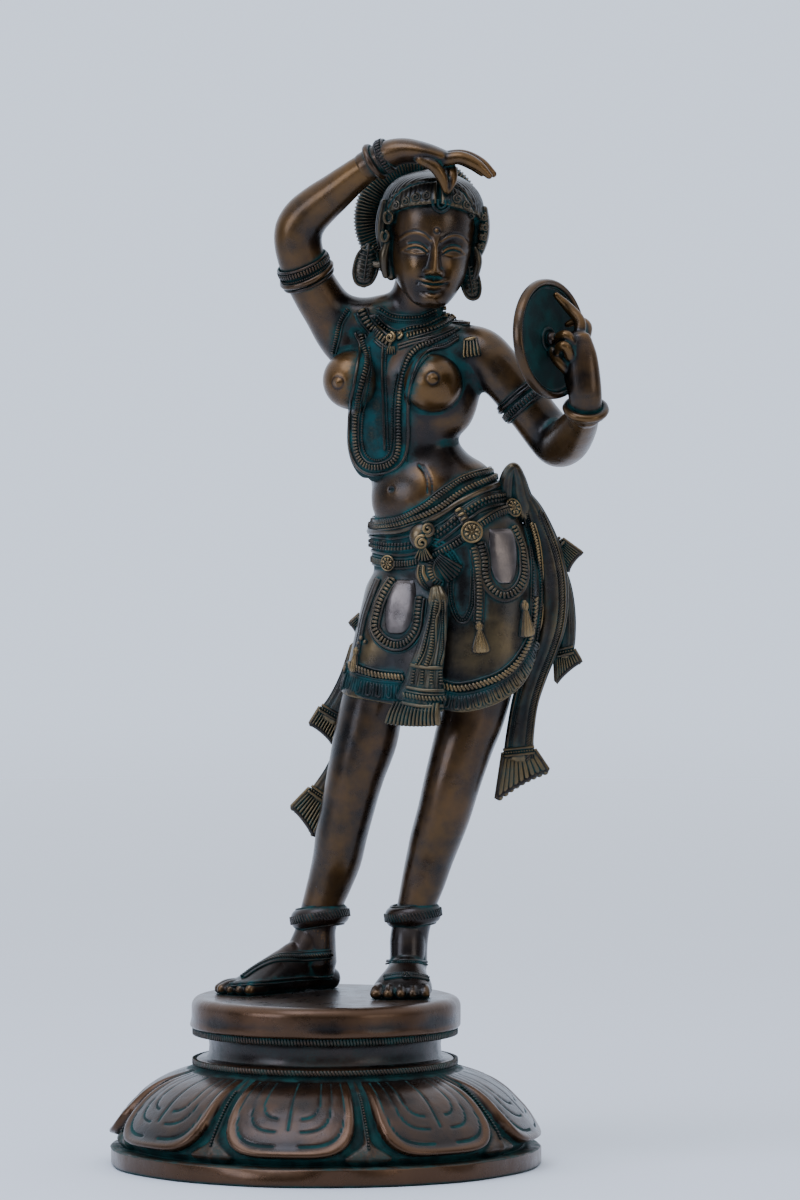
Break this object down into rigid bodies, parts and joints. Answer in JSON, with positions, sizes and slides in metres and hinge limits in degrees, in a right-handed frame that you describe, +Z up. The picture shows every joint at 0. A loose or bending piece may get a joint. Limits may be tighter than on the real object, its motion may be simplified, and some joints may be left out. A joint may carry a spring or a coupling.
{
  "type": "lady with mirror figurine",
  "caption": "Cast metal figurine of a jewelled lady in a swaying pose, one arm over her head and a round mirror in the other hand, on a round lotus pedestal.",
  "frame": {"origin": "centre of the pedestal's round underside, on the surface it stands on", "axes": "+Z up through the figure, the figure faces -Y, +X towards the hand that holds the mirror"},
  "size_m": [0.2887, 0.251, 0.5965],
  "materials": {
    "figure_bronze": "dark brown patinated cast bronze, rubbed golden on high points, blue-green verdigris in recesses",
    "pedestal_bronze": "dark brown patinated cast bronze with blue-green verdigris in the petal grooves"
  },
  "bodies": {
    "root": {"figure": "figure_bronze", "lotus_pedestal": "pedestal_bronze"}
  },
  "joints": []
}
